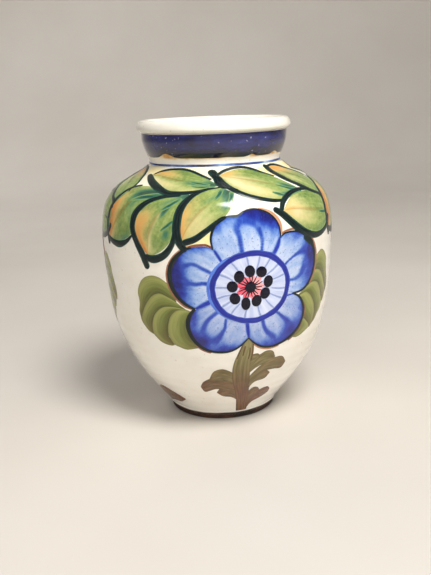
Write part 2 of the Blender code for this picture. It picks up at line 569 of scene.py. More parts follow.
def bare_clay():
    """Fired earthenware where the foot was wiped clean, made near-black as painted shade under the vase."""
    paint = Paint("bare_clay", roughness=0.8)
    place = paint.local()
    grain = paint.noise(place, 420, 4, 0.65)
    # Near-black browns: painted shade under the vase, over the clay's own colour
    base = paint.ramp(grain, (0.3, 44, 28, 20), (0.55, 66, 43, 30), (0.75, 92, 62, 44))
    base = paint.mix(paint.step(0.4, 0.65, paint.noise(place, 70, 3)), base, (34, 24, 19))
    paint.bump(grain, 0.0003, 0.7)
    return paint.done(base, paint.sum("MULTIPLY_ADD", grain, 0.3, 0.6))


def leaf_green():
    """A leaf in soft touches: green, thin yellow where pale, ochre where warm, and teal where deep."""
    paint = Paint("leaf_green")
    marks = paint.streaks(11, 1.6)
    wide = paint.streaks(3, 2.2, 2)
    grain = paint.noise(paint.local(), 420, 3, 0.6)
    pick = paint.plus(paint.times(marks, 0.5), paint.times(wide, 0.5))
    pick = paint.plus(pick, paint.uneven(grain, 0.4))
    colour = paint.ramp(pick, (0.32, 90, 120, 64), (0.5, 131, 152, 84), (0.68, 164, 180, 112))
    patchy = paint.sum("MULTIPLY_ADD", paint.plus(wide, grain), 0.3, -0.3)
    thin = paint.plus(paint.told("pale"), patchy)
    yellow = paint.ramp(paint.times(thin, 0.62), (0.15, 178, 186, 116), (0.55, 208, 198, 140),
                        (0.9, 226, 214, 180))
    colour = paint.mix(paint.step(0.05, 1.1, thin), colour, yellow)
    warm = paint.plus(paint.told("warm"), patchy)
    ochre = paint.ramp(paint.times(warm, 0.62), (0.2, 216, 192, 122), (0.5, 214, 168, 98),
                       (0.85, 200, 130, 66))
    colour = paint.mix(paint.step(0.0, 0.95, warm), colour, ochre)
    deep = paint.plus(paint.told("deep"), paint.uneven(marks, 0.8))
    teal = paint.ramp(deep, (0.4, 74, 130, 92), (0.75, 46, 104, 90), (1.0, 24, 66, 64))
    colour = paint.mix(paint.step(0.15, 0.8, deep), colour, teal, 0.88)
    off_rib = paint.plus(paint.off_middle("across", 0.47), paint.uneven(wide, 0.06))
    rib = paint.sum("SUBTRACT", 1.0, paint.step(0.0, 0.05, off_rib))
    rib = paint.times(rib, paint.step(0.25, 0.55, paint.told("along")))
    return paint.done(paint.mix(rib, colour, (150, 112, 48), 0.4))


def teal_wash():
    """A soft flick of teal that thins to green at its sides and ends."""
    paint = Paint("teal_wash")
    off = paint.sum("MAXIMUM", paint.off_middle("across"), paint.times(paint.off_middle("along"), 0.8))
    thin = paint.plus(off, paint.uneven(paint.streaks(5, 4), 0.5))
    return paint.done(paint.ramp(thin, (0.06, 34, 76, 72), (0.26, 66, 116, 90), (0.44, 128, 156, 92)))


def cream_wash():
    """A thin yellow wash that fades into the white at its edges."""
    paint = Paint("cream_wash")
    clouds = paint.noise(paint.local(), 160, 3, 0.6)
    body = paint.ramp(clouds, (0.35, 246, 226, 156), (0.65, 247, 236, 192))
    edge = paint.step(0.1, 0.9, paint.plus(paint.told("rim"), paint.uneven(clouds, 0.8)))
    return paint.done(paint.mix(edge, (243, 238, 227), body))


def outline_black():
    """The outlines: blue-black laid thick, with teal sides, or brown ones where warm, and grey where pale, a
    painted highlight.
    """
    paint = Paint("outline_black", roughness=0.2, gloss=0.3)
    marks = paint.streaks(6, 5)
    core = paint.ramp(marks, (0.3, 16, 22, 24), (0.55, 25, 38, 38), (0.8, 44, 64, 60))
    thin = paint.step(0.24, 0.54, paint.plus(paint.off_middle("across"), paint.uneven(marks, 0.3)))
    edge = paint.mix(paint.told("warm"), (38, 84, 76), (52, 36, 40))
    colour = paint.mix(thin, core, edge, 0.7)
    # pale greys the black: a painted highlight
    return paint.done(paint.mix(paint.told("pale"), colour, (108, 116, 128), 0.7))


def petal_blue():
    """A petal: from thin periwinkle to royal blue and pooled navy where deep, and violet where warm."""
    paint = Paint("petal_blue", gloss=0.4)
    place = paint.where(paint.scaled("along", 16.0), paint.scaled("across", 2.2), paint.scaled("seed", 9.0))
    marks = paint.noise(place, 1.0, 4, 0.6, 0.3)
    cloud = paint.noise(paint.local(), 110, 3, 0.6)
    amount = paint.plus(paint.told("deep"), paint.uneven(marks, 0.5))
    amount = paint.plus(amount, paint.uneven(cloud, 0.5), clamp=True)
    colour = paint.ramp(amount, (0.0, 190, 204, 230), (0.2, 148, 174, 218), (0.4, 96, 132, 202),
                        (0.62, 47, 77, 176), (0.84, 31, 42, 138), (1.0, 26, 26, 90))
    colour = paint.mix(paint.told("warm"), colour, (84, 84, 176), 0.3)
    specks = paint.step(0.61, 0.69, paint.noise(paint.local(), 1000, 2, 0.5))
    return paint.done(paint.mix(specks, colour, (42, 58, 150), 0.55))


def cobalt_line():
    """The flower's ring and the strokes between its petals: streaky cobalt that bleeds at its sides."""
    paint = Paint("cobalt_line", gloss=0.35)
    marks = paint.streaks(5, 7)
    amount = paint.plus(paint.times(marks, 0.7), paint.scaled("pale", 0.45))
    colour = paint.ramp(amount, (0.22, 26, 28, 116), (0.42, 33, 47, 154), (0.62, 48, 80, 192),
                        (0.95, 104, 146, 226))
    thin = paint.step(0.28, 0.56, paint.plus(paint.off_middle("across"), paint.uneven(marks, 0.2)))
    return paint.done(paint.mix(thin, colour, (92, 124, 212), 0.6))


def disc_lavender():
    """The flower's middle: the palest wash of blue."""
    paint = Paint("disc_lavender")
    rays = paint.noise(paint.where(paint.scaled("along", 30.0), paint.told("across")), 1.0, 3)
    return paint.done(paint.ramp(rays, (0.35, 176, 188, 224), (0.55, 202, 210, 234), (0.75, 220, 225, 240)))


def grey_spoke():
    """Thin grey-blue lines over the flower's middle, with soft sides."""
    paint = Paint("grey_spoke")
    thin = paint.plus(paint.off_middle("across"), paint.uneven(paint.streaks(6, 5), 0.5))
    return paint.done(paint.mix(paint.step(0.05, 0.48, thin), (132, 150, 198), (200, 208, 234)))


def anther_black():
    """Drops of blue-black, glossy and thick."""
    paint = Paint("anther_black", roughness=0.14, gloss=0.25)
    marks = paint.noise(paint.local(), 700, 3)
    return paint.done(paint.ramp(marks, (0.35, 12, 10, 22), (0.6, 20, 17, 36), (0.8, 36, 33, 58)))


def coral_pink():
    """The star behind the anthers: coral, thinning to pale pink on one side."""
    paint = Paint("coral_pink")
    marks = paint.noise(paint.where(paint.scaled("along", 22.0), paint.told("across")), 1.0, 3)
    round_to_side = paint.times(paint.off_middle("along", 0.47), 1.5)
    amount = paint.plus(round_to_side, paint.sum("MULTIPLY_ADD", marks, 0.9, -0.3))
    return paint.done(paint.ramp(amount, (0.2, 230, 84, 108), (0.5, 240, 116, 130), (0.85, 250, 176, 176)))


def rust_line():
    """The thin red-brown line that the black leaves showing round the flower."""
    paint = Paint("rust_line", roughness=0.2)
    colour = paint.ramp(paint.streaks(4, 8), (0.3, 96, 48, 34), (0.6, 146, 88, 62), (0.8, 186, 130, 98))
    return paint.done(paint.mix(paint.told("pale"), colour, (228, 178, 134)))


def olive_leaf():
    """Broad olive lobes: yellow-green at the crest, darker where the next one crosses, brown low down."""
    paint = Paint("olive_leaf")
    marks = paint.streaks(9, 3, 4)
    amount = paint.plus(paint.told("across"), paint.uneven(marks, 0.6))
    colour = paint.ramp(amount, (0.0, 142, 142, 80), (0.18, 152, 156, 86), (0.5, 120, 128, 60),
                        (0.76, 100, 106, 46), (0.97, 74, 78, 32))
    low = paint.step(0.5, 1.0, paint.plus(paint.told("along"), paint.uneven(marks, 0.24)))
    colour = paint.mix(low, colour, (100, 78, 40), 0.62)
    return paint.done(paint.mix(paint.at_rim(0.8), colour, (84, 74, 34), 0.3))


def stem_brown():
    """The stem: olive-grey at the flower, red-brown at the foot, in long streaks, darker at its edges. The
    red-brown low on the wall is painted warm bounce light over olive-brown paint.
    """
    paint = Paint("stem_brown", roughness=0.2)
    marks = paint.streaks(6, 3, 4)
    olive = paint.ramp(marks, (0.3, 98, 92, 50), (0.5, 126, 120, 74), (0.7, 150, 142, 98))
    brown = paint.ramp(marks, (0.3, 82, 46, 22), (0.5, 106, 66, 36), (0.72, 134, 92, 56))
    # warm browns the stem low on the wall: painted warm bounce light
    amount = paint.plus(paint.told("warm"), paint.uneven(marks, 0.4))
    tip = paint.times(paint.told("pale"), paint.step(0.6, 1.0, paint.told("along")))
    amount = paint.plus(amount, paint.times(tip, 0.3), clamp=True)
    colour = paint.mix(amount, olive, brown)
    return paint.done(paint.mix(paint.at_rim(1.0), colour, (70, 44, 22), 0.45))


def cobalt_band():
    """The collar's band: dark cobalt brushed round in long strokes, nearly black where it lies thick."""
    paint = Paint("cobalt_band", roughness=0.14, coat=0.6)
    marks = paint.noise(paint.where(paint.scaled("across", 6.0), paint.scaled("along", 26.0)), 1.0, 4, 0.6)
    clouds = paint.noise(paint.local(), 45, 3)
    amount = paint.plus(paint.times(marks, 0.55), paint.times(clouds, 0.5))
    low = paint.step(0.45, 0.95, paint.told("across"))
    amount = paint.sum("SUBTRACT", amount, paint.times(low, 0.26))
    colour = paint.ramp(amount, (0.22, 22, 20, 28), (0.4, 28, 28, 62), (0.56, 38, 42, 104),
                        (0.76, 60, 68, 140))
    specks = paint.step(0.73, 0.77, paint.noise(paint.local(), 480, 1, 0.4))
    return paint.done(paint.mix(specks, colour, (170, 172, 206), 0.6))


def ochre_wash():
    """The thin gold line under the band, coming and going."""
    paint = Paint("ochre_wash")
    clouds = paint.noise(paint.local(), 110, 3)
    colour = paint.ramp(clouds, (0.36, 196, 142, 74), (0.5, 222, 184, 118), (0.62, 240, 226, 190))
    low = paint.step(0.62, 0.98, paint.plus(paint.told("across"), paint.uneven(clouds, 0.3)))
    return paint.done(paint.mix(low, colour, (242, 236, 222)))


def blue_thread():
    """The line at the collar's root: dark where the brush was full, sky blue where it ran out."""
    paint = Paint("blue_thread")
    clouds = paint.noise(paint.local(), 60, 3, 0.6)
    return paint.done(paint.ramp(clouds, (0.34, 44, 52, 92), (0.5, 70, 100, 170), (0.62, 132, 170, 220),
                                 (0.74, 206, 220, 236)))


def plain_floor():
    paint = Paint("plain_floor", roughness=0.55)
    clouds = paint.noise(paint.local(), 3, 3)
    return paint.done(paint.ramp(clouds, (0.3, 202, 196, 188), (0.7, 212, 207, 200)))


TIN = tin_glaze()
SHADED_CLAY = bare_clay()
GREEN = leaf_green()
BLACK = outline_black()
BLUE = petal_blue()
COBALT = cobalt_line()
LAVENDER = disc_lavender()
SPOKE = grey_spoke()
ANTHER = anther_black()
CORAL = coral_pink()
RUST = rust_line()
OLIVE = olive_leaf()
TEAL = teal_wash()
CREAM = cream_wash()
STEM = stem_brown()
BAND = cobalt_band()
OCHRE = ochre_wash()
THREAD = blue_thread()


# ---------------------------------------------------------------- glazed clay

def lathe(name, profile, material, outer_rows, replaced, closed):
    """A turned piece. profile is (radius, height) rows; the rows in outer_rows feel the throwing rings."""
    turn = np.linspace(0, 360, AROUND, endpoint=False)[:, None]
    radius, height = (np.asarray(profile, float)[None, :, k] for k in range(2))
    shaped = radius + throwing(turn, height) * np.asarray(outer_rows, float)[None, :]
    a = np.radians(turn)
    points = np.stack([shaped * np.sin(a), -shaped * np.cos(a), height + 0 * a], -1) * MM
    rows = points.shape[1]
    index = np.arange(AROUND * rows).reshape(AROUND, rows)
    there = np.roll(index, -1, axis=0)
    if closed:
        here_next, there_next = np.roll(index, -1, axis=1), np.roll(there, -1, axis=1)
        quads = np.stack([index, there, there_next, here_next], -1).reshape(-1, 4)
        points, faces = points.reshape(-1, 3), quads.tolist()
    else:
        quads = np.stack([index[:, :-1], there[:, :-1], there[:, 1:], index[:, 1:]], -1).reshape(-1, 4)
        hubs = AROUND * rows
        start = np.stack([np.full(AROUND, hubs), there[:, 0], index[:, 0]], -1)
        end = np.stack([np.full(AROUND, hubs + 1), index[:, -1], there[:, -1]], -1)
        ends = [(0, 0, profile[0][1] * MM), (0, 0, profile[-1][1] * MM)]
        points = np.vstack([points.reshape(-1, 3), ends])
        faces = quads.tolist() + start.tolist() + end.tolist()
    add_piece(name, points, faces, None, [material], {}, replaced)


def inner_stations():
    """The wall's inner face: each outer station moved square to the outline, into the clay."""
    outline = np.array(BODY_OUTLINE + [(NECK_RADIUS, BODY_HIGH)], float)
    along = outline[2:] - outline[:-2]
    along /= np.linalg.norm(along, axis=1)[:, None]
    share = (outline[1:-1, 1] - FLOOR_TOP) / (BODY_HIGH - FLOOR_TOP)
    thickness = WALL + (BASE_WALL - WALL) * np.maximum(0.0, 1 - 2 * share)
    return outline[1:-1] + np.stack([-along[:, 1], along[:, 0]], -1) * thickness[:, None]


def glaze_body():
    """Floor, belly and shoulder, with the recess under the floor."""
    stations = inner_stations()
    floor_edge = (0.6 * stations[0, 0], FLOOR_TOP)
    inner = catmull(np.vstack([floor_edge, stations, (BORE_RADIUS, BODY_HIGH)]), 10)
    floor = [(share * floor_edge[0], FLOOR_TOP) for share in (0.04, 0.3, 0.6, 0.85)]
    outer, shaped = body_wall.rows(190)
    recess = FOOT_RADIUS - FOOT_WIDTH
    under = [(recess, BODY_LOW), (recess - 0.5, FLOOR_UNDERSIDE), (recess * 0.5, FLOOR_UNDERSIDE),
             (1.0, FLOOR_UNDERSIDE)]
    seat = [(BORE_RADIUS + 1.5, BODY_HIGH)]
    profile = np.vstack([floor, inner, seat, outer, under])
    fading = np.linspace(0, 1, len(inner)) ** 0.1 * smoothstep(BODY_HIGH, BODY_HIGH - 10, inner[:, 1])
    rows = np.concatenate([np.zeros(len(floor)), 1.6 * fading, [0.0], shaped, np.zeros(len(under))])
    lathe("glazed_body", profile, TIN, rows, ("body",), closed=False)


def glaze_collar():
    """The flared neck."""
    outer, shaped = collar_wall.rows(40)
    top_inside = LIP_RADIUS - LIP_WIDTH
    share = np.linspace(0, 1, 14)[:, None]
    inner = np.array([BORE_RADIUS, BODY_HIGH]) * (1 - share) + np.array([top_inside, COLLAR_HIGH]) * share
    profile = np.vstack([inner, outer])
    rows = np.concatenate([1.2 * np.sin(share[:, 0] * math.pi), shaped])
    lathe("glazed_collar", profile, TIN, rows, ("collar",), closed=True)


def glaze_lip():
    """The rolled lip: a thick bead of clay, fullest at its outer side."""
    half = LIP_WIDTH / 2
    widest = LIP_LOW + LIP_WIDEST * (LIP_HIGH - LIP_LOW)
    rise = LIP_HIGH - widest
    tuck = COLLAR_RADIUS - LIP_TUCK
    crown = np.radians(np.linspace(180, 0, 30))
    over = np.stack([LIP_RADIUS - half + half * np.cos(crown), widest + rise * np.sin(crown)], -1)
    roll = np.radians(np.linspace(0, -90, 14))[1:]
    drop = widest - LIP_LOW
    under = np.stack([tuck + (LIP_RADIUS - tuck) * np.cos(roll), widest + drop * np.sin(roll)], -1)
    inner = [(LIP_RADIUS - LIP_WIDTH, COLLAR_HIGH), (LIP_RADIUS - LIP_WIDTH, (widest + LIP_LOW) / 2)]
    close = [(tuck, COLLAR_HIGH)]
    profile = np.vstack([inner, over, under, close])
    lathe("glazed_lip", profile, TIN, np.full(len(profile), 0.6), ("lip",), closed=True)


def clay_foot():
    """The bare foot ring, worn round at its edges."""
    inner = FOOT_RADIUS - FOOT_WIDTH
    worn = 0.9
    bend = np.radians(np.linspace(0, 90, 7))
    height = FOOT_LOW + worn - worn * np.sin(bend)
    outer_edge = np.stack([FOOT_RADIUS - worn + worn * np.cos(bend), height], -1)
    inner_edge = np.stack([inner + worn - worn * np.cos(bend), height], -1)[::-1]
    top = [(inner, BODY_LOW), (FOOT_RADIUS, BODY_LOW)]
    profile = np.vstack([inner_edge, top, outer_edge])
    # The foot's near-black colour is painted shade under the vase
    lathe("clay_foot", profile, SHADED_CLAY, np.zeros(len(profile)), ("foot_ring",), closed=True)


def girdle_piece(name, slot, wall, top, bottom, material, **shape):
    """A piece that is one band right round a wall."""
    relief = Relief(wall)
    relief.girdle(top, bottom, material, **shape)
    relief.finish(name, slot)


def glaze_edge():
    """Where the glaze stops: an uneven bead, and below it a dark strip of bare clay that is also painted
    shade under the vase.
    """
    end = body_wall.length
    # The dark strip: bare clay and painted shade under the vase
    girdle_piece("shaded_bare_wall_edge", "bare_clay", body_wall, lambda t: end - BARE_AND_SHADE_TOP + 0.4 * wander(t, 2.0),
                 lambda t: end - 0.1 + 0 * t, SHADED_CLAY, lift=0.03, crown=0.03)
    girdle_piece("glaze_bead", "tin_glaze", body_wall, lambda t: end - BEAD_TOP + 0.5 * wander(t, 2.0),
                 lambda t: end - BEAD_LOW + 0.5 * wander(t, 2.0), TIN, lift=0.02, crown=0.3)


# ---------------------------------------------------------------- collar painting

def paint_collar():
    """The cobalt band with its ragged lower edge, the gold line under it, and the blue thread at the root."""
    down_at = collar_wall.down_at

    def ragged(turn):
        edge = down_at(BAND_LOW) + 0.35 * wander(turn, 4.0)
        for at, depth, spread in BAND_NOTCHES:
            gap = (turn - at + 180) % 360 - 180
            edge = edge - depth * np.exp(-(gap / spread) ** 2)
        return edge

    girdle_piece("collar_gold_line", "tin_glaze", collar_wall, lambda t: np.full_like(t, down_at(GOLD_TOP)),
                 lambda t: down_at(GOLD_LOW) + 0.3 * wander(t, 7.0), OCHRE, lift=0.03, crown=0.03)
    girdle_piece("collar_cobalt_band", "cobalt_glaze", collar_wall, lambda t: np.full_like(t, 0.15), ragged,
                 BAND, lift=0.10, crown=0.14, columns=25)
    girdle_piece("collar_blue_thread", "cobalt_glaze", collar_wall,
                 lambda t: down_at(THREAD_TOP) + 0.2 * wander(t, 1.0),
                 lambda t: down_at(THREAD_LOW) + 0.1 * wander(t, 9.0), THREAD, lift=0.06, crown=0.12)


# ---------------------------------------------------------------- garland leaves

def touches(*spots):
    """A rule for soft touches of colour on a leaf: (along, across, reach along, reach across, amount)."""
    def rule(along, across, places):
        total = np.zeros_like(along)
        for at_along, at_across, long, wide, amount in spots:
            total += amount * np.exp(-((along - at_along) / long) ** 2 - ((across - at_across) / wide) ** 2)
        return np.clip(total, 0.0, 1.6)
    return rule


# Each leaf: two edges from root to tip, its touches of colour, and its outline strokes (turn, down, width)
LEAVES = {
    "long_left": {
        "edges": ([(1, 18), (-6, 11.5), (-14, 6.5), (-24, 3), (-35, 2.5), (-44, 4.5), (-53, 8.5)],
                  [(1, 20), (-8, 23.5), (-18, 25.5), (-28, 24), (-36, 20), (-43, 14.5), (-53, 9.5)]),
        "warm": touches((0.85, 0.2, 0.26, 0.3, 0.7), (0.62, 0.3, 0.2, 0.2, 0.35)),
        "pale": touches((0.85, 0.85, 0.3, 0.34, 1.0), (0.5, 0.75, 0.25, 0.4, 0.5),
                        (0.25, 0.95, 0.15, 0.15, 0.6)),
        "deep": touches((0.02, 0.5, 0.16, 0.5, 1.0), (0.26, 0.52, 0.16, 0.12, 0.75)),
        "strokes": [
            [(-50, 8, 1.6), (-46.5, 5, 1.9), (-40.5, 3, 2), (-33.5, 2, 2), (-25, 2, 2), (-17, 4, 2),
             (-9.5, 8, 2), (-2.5, 13, 1.8)],
            [(-55, 8.5, 2.5), (-50.5, 11, 4), (-43, 16, 5), (-36, 20.5, 5.5), (-30.5, 24, 5),
             (-26, 26, 4.5), (-20.5, 26, 3.5), (-15, 25.5, 3), (-10, 24.5, 2.5), (-3, 22, 1.8)],
        ],
    },
    "sweep_left": {
        "edges": ([(-22, 26), (-33, 22), (-44, 20.5), (-52, 22), (-59, 29), (-63, 39), (-64, 50),
                   (-62, 60.5)],
                  [(-22, 28), (-31, 33), (-38, 39), (-42, 47), (-43, 54), (-48, 58), (-54, 60), (-61, 60.5)]),
        "warm": touches((0.72, 0.05, 0.2, 0.36, 1.2), (0.95, 0.35, 0.14, 0.4, 0.9),
                        (0.82, 0.35, 0.1, 0.2, 0.4)),
        "pale": touches((0.3, 0.0, 0.2, 0.25, 0.6), (0.78, 0.62, 0.12, 0.14, 0.5),
                        (1.0, 0.9, 0.08, 0.2, 0.4)),
        "deep": touches((0.05, 0.45, 0.22, 0.5, 1.1), (0.32, 0.4, 0.2, 0.22, 0.9), (0.5, 0.75, 0.1, 0.2, 0.4),
                        (0.72, 0.95, 0.12, 0.15, 0.55)),
        "strokes": [
            [(-48, 20, 1.4), (-54, 22.5, 2.5), (-59.5, 28.5, 3), (-63.5, 37, 4), (-65, 47, 4), (-64.5, 56, 4),
             (-62.5, 63.5, 3)],
            [(-63.5, 58.5, 3), (-58, 61, 4), (-52, 61.5, 4.5), (-46.5, 59, 3), (-42, 54.5, 1.2)],
        ],
    },
    "heart_left": {
        "edges": ([(-14, 26.5), (-26, 29.5), (-34, 34), (-39.5, 41), (-41, 49), (-38.5, 57), (-33, 66.5)],
                  [(-13, 28), (-18, 38), (-19.5, 48), (-21, 56), (-25.5, 62.5), (-32.5, 67)]),
        "warm": touches((0.75, 0.1, 0.24, 0.28, 0.95), (0.95, 0.25, 0.14, 0.25, 0.9),
                        (0.55, 0.25, 0.12, 0.2, 0.4)),
        "pale": touches((0.75, 0.5, 0.22, 0.1, 0.8), (0.9, 0.75, 0.16, 0.3, 0.7),
                        (0.45, 0.5, 0.16, 0.08, 0.6)),
        "deep": touches((0.0, 0.5, 0.2, 0.6, 1.0), (0.34, 0.55, 0.12, 0.1, 0.95), (0.28, 0.3, 0.1, 0.12, 0.4),
                        (0.58, 0.86, 0.1, 0.1, 0.8)),
        "strokes": [
            [(-18, 27.5, 1.8), (-28, 29, 3), (-35.5, 33, 4), (-41, 40.5, 5), (-42, 50, 4.5), (-39.5, 58, 4.5),
             (-36, 66, 5), (-33.5, 74.5, 4)],
            [(-35, 66.5, 3.5), (-30.5, 68, 5), (-25, 65.5, 4.5), (-20.5, 58.5, 3.5), (-19, 50, 2.5),
             (-18.5, 42, 1.4)],
        ],
    },
    "slim_left": {
        "edges": ([(3, 21), (-5, 23.5), (-12, 29), (-16, 36.5), (-18, 45.5), (-17, 56.5)],
                  [(9.5, 27), (8, 33), (6, 38.5), (3, 43), (-1, 47), (-5.5, 51), (-10.5, 55), (-16, 58)]),
        "warm": touches((0.72, 0.1, 0.34, 0.4, 0.8), (0.92, 0.4, 0.16, 0.4, 0.6)),
        "pale": touches((0.75, 0.8, 0.4, 0.36, 0.9), (0.6, 0.5, 0.3, 0.12, 0.5)),
        "deep": touches((0.04, 0.6, 0.16, 0.35, 1.0), (0.22, 0.85, 0.14, 0.14, 0.7),
                        (0.3, 0.4, 0.14, 0.1, 0.35)),
        "strokes": [
            [(3, 21, 1.2), (-5, 23, 2), (-12, 28, 3.5), (-16.5, 36, 5), (-18, 45, 5.5), (-18, 53, 5.5),
             (-16, 60, 4.5)],
            [(-15.5, 57.5, 4), (-10, 55, 4), (-4.5, 50, 3.5), (0, 45.5, 3), (4, 42.5, 2)],
        ],
    },
    "long_right": {
        "edges": ([(50, 30), (46, 23.5), (41, 15.5), (35, 9), (27, 4.5), (18, 3), (9, 5), (2.5, 8.5)],
                  [(50, 31), (44, 32.5), (37, 34), (29, 33.5), (22, 31), (15, 27), (9, 20.5), (5, 13.5),
                   (2.5, 9.5)]),
        "warm": touches((0.95, 0.3, 0.16, 0.5, 0.6), (0.8, 0.2, 0.18, 0.25, 0.35)),
        "pale": touches((0.85, 0.6, 0.3, 0.4, 1.0), (0.5, 0.85, 0.3, 0.25, 0.8), (0.5, 0.42, 0.3, 0.1, 0.4)),
        "deep": touches((0.02, 0.5, 0.16, 0.5, 0.9), (0.24, 0.8, 0.1, 0.12, 0.7),
                        (0.2, 0.35, 0.12, 0.14, 0.6)),
        "strokes": [
            [(0.5, 8.5, 2), (6, 4.5, 2.5), (13, 2, 2.5), (21, 1.5, 2.5), (29, 4, 2.5), (36, 9, 2),
             (41, 14, 1.2)],
            [(1.5, 9.5, 3.5), (4, 16, 4), (8.5, 23, 4), (14.5, 28.5, 3.5), (21.5, 32, 3), (29, 34.5, 2.5),
             (36, 35, 1.4)],
        ],
    },
    "top_right": {
        "edges": ([(69, 36), (74.5, 27.5), (75, 19.5), (71, 12), (65, 7), (58, 3), (51, 2), (44, 3)],
                  [(69, 37), (62, 32.5), (56, 28), (51, 22), (47.5, 15.5), (45.5, 9), (44, 4)]),
        "warm": touches((0.85, 0.35, 0.22, 0.4, 1.0), (0.6, 0.15, 0.2, 0.2, 0.5)),
        "pale": touches((0.6, 0.75, 0.3, 0.25, 0.6)),
        "deep": touches((0.02, 0.5, 0.22, 0.5, 0.9)),
        "strokes": [
            [(43.5, 1, 4.5), (44, 8, 5), (46, 15.5, 5), (49.5, 22, 4.5), (54.5, 28, 4), (61, 33, 3),
             (68, 36.5, 2.5)],
            [(44.5, 3, 1.6), (51, 2, 2), (58, 3, 2.5), (65, 6.5, 2.5), (71, 12, 2), (75, 19, 1.6),
             (75, 27, 1.4)],
        ],
    },
    "round_right": {
        "edges": ([(68, 46), (66.5, 40), (63, 35), (57, 31.5), (50, 30.5), (43, 31.5), (37, 35.5),
                   (32.5, 41)],
                  [(68, 48), (66, 53), (61, 57), (54, 59), (47, 57), (41, 52.5), (36, 46.5), (32.5, 42)]),
        "warm": touches((0.92, 0.5, 0.18, 0.5, 0.65), (0.7, 0.42, 0.24, 0.06, 0.4)),
        "pale": touches((0.85, 0.5, 0.28, 0.6, 1.2), (0.5, 0.6, 0.2, 0.25, 0.4)),
        "deep": touches((0.02, 0.55, 0.16, 0.5, 0.8), (0.3, 0.9, 0.2, 0.12, 0.4)),
        "strokes": [
            [(31, 41.5, 3), (33.5, 36, 3.5), (38, 32, 3.5), (44, 29.5, 3), (51, 29, 2.5), (58, 31, 1.8),
             (64, 35, 1.6), (68, 40, 1.8)],
            [(27, 39.5, 3.5), (31, 43, 4.5), (35.5, 48.5, 5), (40.5, 54, 5.5), (46, 58, 5), (53, 60, 4),
             (60, 59, 3.5), (66, 55.5, 3.5), (69.5, 50, 3.5)],
        ],
    },
}
# The dark strokes that tie the leaves together: the nub under the collar and the bar down to the petals
TIES = [
    [(-4, 3, 5), (-1, 7, 5.5), (1, 12, 5), (2, 17.5, 4.5), (5.5, 22.5, 3.5)],
    [(3, 21.5, 1.6), (8, 22.5, 2.5), (12, 25, 1.8)],
    [(-17.5, 56.5, 5), (-15.5, 60, 4.5), (-14, 62.5, 3.5)],
    [(43, 58.5, 4), (46, 62, 4.5), (48.5, 65, 3.5)],
]
# Soft teal flicks where the leaves meet
FLICKS = [
    [(8, 25.5, 2.4), (7.5, 30, 2.8), (5.5, 34.5, 1.4)],
    [(3.5, 22.5, 2.2), (1.8, 27, 3), (-0.8, 31.5, 1.8)],
    [(-17, 30, 2), (-22, 34.4, 3), (-27, 38.6, 1.6)],
    [(-18.6, 43.4, 1.4), (-22, 46.6, 2.4), (-26, 50.6, 1.2)],
    [(-24, 28, 3), (-33, 28.8, 4.6), (-42, 30.6, 3.6), (-48, 33, 1.6)],
    [(-3, 18.4, 2), (-9, 17.2, 2.6), (-16, 15.2, 1.4)],
    [(-3, 20.4, 1.6), (-9, 20.6, 2), (-14, 19.6, 1)],
    [(30, 28.4, 1.4), (34, 30.6, 2.6), (38, 33, 2)],
    [(35, 22.6, 1.4), (42, 27, 2.6), (49, 29.6, 2.6)],
    [(57, 46, 1.2), (62, 47, 2.2), (67, 47.8, 2.6)],
]
# Thin cream-yellow washes on the glaze between the leaves, each between two edges
WASHES = [
    ([(-62, 1.5), (-54, 1.2), (-46, 1.4), (-38, 1.6)],
     [(-62, 8), (-57, 8.6), (-50, 7.4), (-44, 3.6), (-38, 2.2)]),
    ([(-14.5, 58), (-10, 56), (-5, 52), (-1, 48.4)], [(-14.5, 60), (-8.5, 59), (-4, 59.6), (-2.4, 54)]),
    ([(35, 2), (41, 2.6), (45, 8), (48, 15), (53, 23)], [(33, 6), (38, 10), (42, 15), (46, 21), (52, 28)]),
]


def paint_leaf(kind, motif):
    leaf = LEAVES[kind]
    relief = Relief(body_wall, *motif)
    relief.loft(*leaf["edges"], GREEN, lift=0.05, crown=0.06, rows=64, columns=25, warm=leaf["warm"],
                pale=leaf["pale"], deep=leaf["deep"])
    for stations in leaf["strokes"]:
        relief.stroke(stations, BLACK, lift=0.13, crown=0.16)
    return relief


# ---------------------------------------------------------------- the flower

FLOWER = (14.9, 86.0)
RING_X, RING_Y = 24.2, 21.2
RING_WIDTH = 3.6
